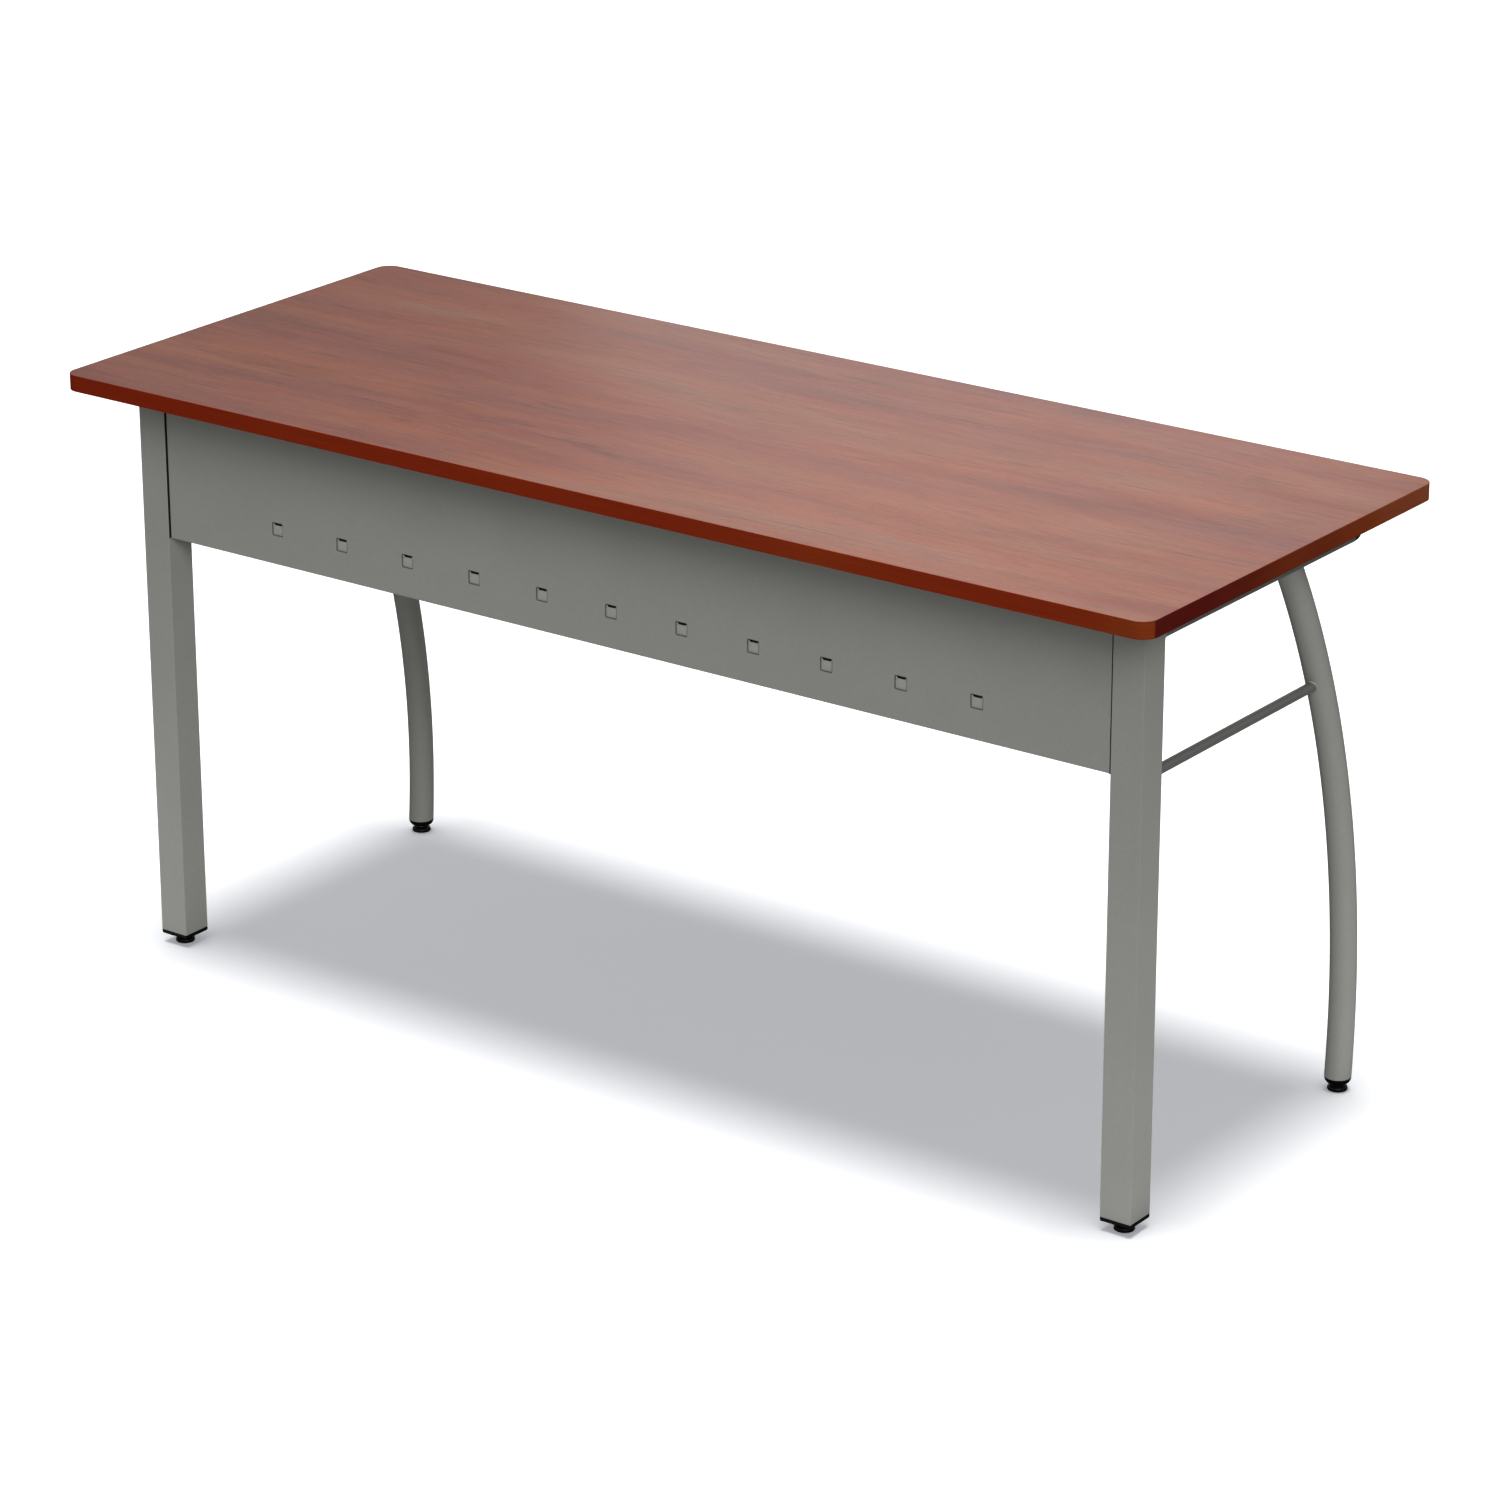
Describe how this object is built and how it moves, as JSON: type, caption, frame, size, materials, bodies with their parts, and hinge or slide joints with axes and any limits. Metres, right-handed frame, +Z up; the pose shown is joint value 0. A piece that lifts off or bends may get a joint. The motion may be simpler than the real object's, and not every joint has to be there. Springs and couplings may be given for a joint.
{
  "type": "teacher desk",
  "caption": "Desk with a rounded laminate top on steel side frames with square front legs and bowed round rear legs, a front modesty panel and levelling glides.",
  "frame": {"origin": "on the floor, under the middle of the worktop", "axes": "+X along the desk, +Y from the modesty panel towards the sitter, +Z up"},
  "size_m": [1.53, 0.6, 0.749],
  "materials": {
    "cherry_laminate": "satin laminate with a cherry grain along the length",
    "edge_plastic": "plain satin edge band in a darker cherry red",
    "backing_sheet": "dull backing sheet",
    "core_board": "raw particle board, hidden",
    "frame_coat": "silver-grey powder coat, satin, finely textured",
    "black_plastic": "moulded black plastic, slightly glossy",
    "zinc_steel": "bright zinc plate"
  },
  "bodies": {
    "desk": {"worktop_core": "core_board", "worktop_laminate": "cherry_laminate", "worktop_backer": "backing_sheet", "worktop_edge_band": "edge_plastic", "front_leg_left": "frame_coat", "side_rail_left": "frame_coat", "rear_leg_left": "frame_coat", "side_rod_left": "frame_coat", "rail_end_cap_left": "black_plastic", "front_leg_cap_left": "black_plastic", "rear_leg_cap_left": "black_plastic", "front_leg_right": "frame_coat", "side_rail_right": "frame_coat", "rear_leg_right": "frame_coat", "side_rod_right": "frame_coat", "rail_end_cap_right": "black_plastic", "front_leg_cap_right": "black_plastic", "rear_leg_cap_right": "black_plastic", "modesty_panel": "frame_coat", "panel_bolt_left_1": "zinc_steel", "panel_weld_nut_left_1": "zinc_steel", "panel_bolt_left_2": "zinc_steel", "panel_weld_nut_left_2": "zinc_steel", "rail_screw_left_1": "zinc_steel", "top_insert_left_1": "zinc_steel", "rail_screw_left_2": "zinc_steel", "top_insert_left_2": "zinc_steel", "rail_screw_left_3": "zinc_steel", "top_insert_left_3": "zinc_steel", "panel_bolt_right_1": "zinc_steel", "panel_weld_nut_right_1": "zinc_steel", "panel_bolt_right_2": "zinc_steel", "panel_weld_nut_right_2": "zinc_steel", "rail_screw_right_1": "zinc_steel", "top_insert_right_1": "zinc_steel", "rail_screw_right_2": "zinc_steel", "top_insert_right_2": "zinc_steel", "rail_screw_right_3": "zinc_steel", "top_insert_right_3": "zinc_steel", "flange_screw_1": "zinc_steel", "flange_screw_2": "zinc_steel", "flange_screw_3": "zinc_steel", "flange_screw_4": "zinc_steel", "flange_screw_5": "zinc_steel"},
    "glide_foot_front_left": {"glide_pad_front_left": "black_plastic"},
    "glide_screw_front_left": {"glide_stud_front_left": "zinc_steel"},
    "glide_foot_front_right": {"glide_pad_front_right": "black_plastic"},
    "glide_screw_front_right": {"glide_stud_front_right": "zinc_steel"},
    "glide_foot_rear_left": {"glide_pad_rear_left": "black_plastic"},
    "glide_screw_rear_left": {"glide_stud_rear_left": "zinc_steel"},
    "glide_foot_rear_right": {"glide_pad_rear_right": "black_plastic"},
    "glide_screw_rear_right": {"glide_stud_rear_right": "zinc_steel"}
  },
  "joints": [
    {"name": "glide_lift_front_left", "type": "slide", "parent": "desk", "child": "glide_foot_front_left", "axis": [0, 0, 1], "range_m": [-0.012, 0.002]},
    {"name": "glide_turn_front_left", "type": "hinge", "parent": "glide_foot_front_left", "child": "glide_screw_front_left", "pos_m": [-0.695, -0.204, 0.02], "axis": [0, 0, 1], "range_deg": [-3460, 580]},
    {"name": "glide_lift_front_right", "type": "slide", "parent": "desk", "child": "glide_foot_front_right", "axis": [0, 0, 1], "range_m": [-0.012, 0.002]},
    {"name": "glide_turn_front_right", "type": "hinge", "parent": "glide_foot_front_right", "child": "glide_screw_front_right", "pos_m": [0.695, -0.204, 0.02], "axis": [0, 0, 1], "range_deg": [-3460, 580]},
    {"name": "glide_lift_rear_left", "type": "slide", "parent": "desk", "child": "glide_foot_rear_left", "axis": [0, 0, 1], "range_m": [-0.012, 0.002]},
    {"name": "glide_turn_rear_left", "type": "hinge", "parent": "glide_foot_rear_left", "child": "glide_screw_rear_left", "pos_m": [-0.695, 0.257, 0.02], "axis": [0, 0, 1], "range_deg": [-3460, 580]},
    {"name": "glide_lift_rear_right", "type": "slide", "parent": "desk", "child": "glide_foot_rear_right", "axis": [0, 0, 1], "range_m": [-0.012, 0.002]},
    {"name": "glide_turn_rear_right", "type": "hinge", "parent": "glide_foot_rear_right", "child": "glide_screw_rear_right", "pos_m": [0.695, 0.257, 0.02], "axis": [0, 0, 1], "range_deg": [-3460, 580]}
  ],
  "couplings": [
    {"joint": "glide_turn_front_left", "follows": "glide_lift_front_left", "rad_per_m": 5026.5},
    {"joint": "glide_turn_front_right", "follows": "glide_lift_front_right", "rad_per_m": 5026.5},
    {"joint": "glide_turn_rear_left", "follows": "glide_lift_rear_left", "rad_per_m": 5026.5},
    {"joint": "glide_turn_rear_right", "follows": "glide_lift_rear_right", "rad_per_m": 5026.5}
  ]
}
